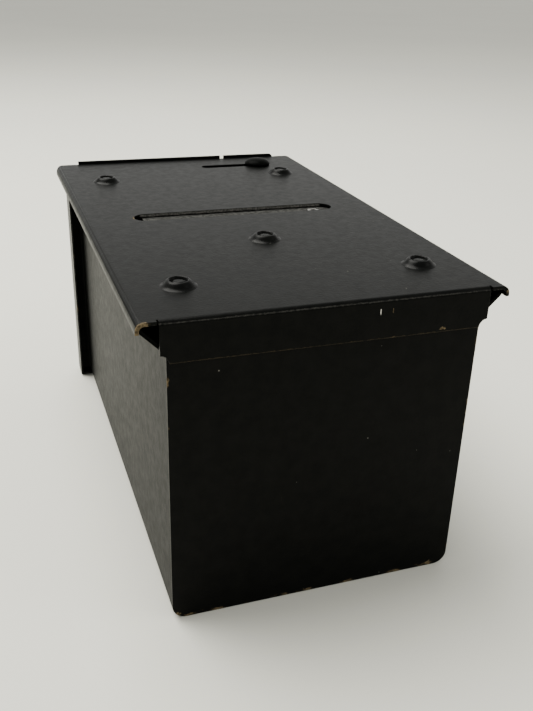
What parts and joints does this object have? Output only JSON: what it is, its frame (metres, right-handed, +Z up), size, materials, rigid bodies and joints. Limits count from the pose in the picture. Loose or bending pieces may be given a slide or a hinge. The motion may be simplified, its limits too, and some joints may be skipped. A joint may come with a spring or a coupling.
{
  "type": "slotted drop box",
  "caption": "Black sheet-steel drop box with a shuttered top slot, side overhangs for sliding on rails, and a hinged, lockable end door with a folding handle.",
  "frame": {"origin": "on the underside, below the middle of the top plate", "axes": "+X across the box to the hinge side, +Y along the box from the plain end to the door, +Z up"},
  "size_m": [0.1524, 0.2681, 0.1411],
  "materials": {
    "black_paint": "semi-gloss black enamel, chipped and rubbed at its edges",
    "hinge_paint": "black enamel, rubbed to bare steel at the knuckles",
    "shutter_grey": "thin dark grey paint, speckled",
    "zinc": "dull zinc plate",
    "bright_steel": "bare steel worn bright",
    "chrome": "plated, lightly scratched"
  },
  "bodies": {
    "box": {"body_shell": "black_paint", "front_panel": "black_paint", "top_plate": "black_paint", "mechanism_tray": "zinc", "tray_spacers": "zinc", "top_rivets": "black_paint", "shutter_guides": "zinc", "spring_bracket": "zinc", "rear_rail": "black_paint", "lock_strike": "zinc", "strike_rivets": "zinc", "hinge_body_leaf": "hinge_paint", "hinge_body_rivets": "hinge_paint", "hinge_pin": "bright_steel", "shutter_spring": "bright_steel"},
    "stud_slider": {"drive_bar": "shutter_grey", "drive_stud": "black_paint"},
    "shutter": {"shutter": "shutter_grey", "shutter_eyelet": "bright_steel", "follower_pin": "bright_steel", "spring_rod": "bright_steel"},
    "door": {"door": "black_paint", "lock_plate": "zinc", "hinge_door_leaf": "hinge_paint", "hinge_door_rivets": "hinge_paint", "lock_body": "chrome", "lock_nut": "zinc", "handle_brackets": "black_paint", "handle_rivets": "black_paint"},
    "lock_plug": {"lock_plug": "chrome", "lock_cam": "zinc", "cam_screw": "zinc"},
    "handle": {"bail_handle": "black_paint"}
  },
  "joints": [
    {"name": "stud_slide", "type": "slide", "parent": "box", "child": "stud_slider", "axis": [-1, 0, 0], "range_m": [0, 0.033], "stiffness_N_per_m": 90, "springref_m": -0.024},
    {"name": "shutter_slide", "type": "slide", "parent": "box", "child": "shutter", "axis": [0, 1, 0], "range_m": [0, 0.014], "deforming": ["shutter_spring"]},
    {"name": "door_hinge", "type": "hinge", "parent": "box", "child": "door", "pos_m": [0.0737, 0.1142, 0.065], "axis": [0, 0, -1], "range_deg": [0, 110]},
    {"name": "lock_turn", "type": "hinge", "parent": "door", "child": "lock_plug", "pos_m": [0, 0.1298, 0.098], "axis": [0, 1, 0], "range_deg": [0, 90]},
    {"name": "handle_swing", "type": "hinge", "parent": "door", "child": "handle", "pos_m": [0, 0.1351, 0.066], "axis": [1, 0, 0], "range_deg": [0, 90]}
  ],
  "couplings": [
    {"joint": "shutter_slide", "follows": "stud_slide", "ratio": 0.42424}
  ]
}
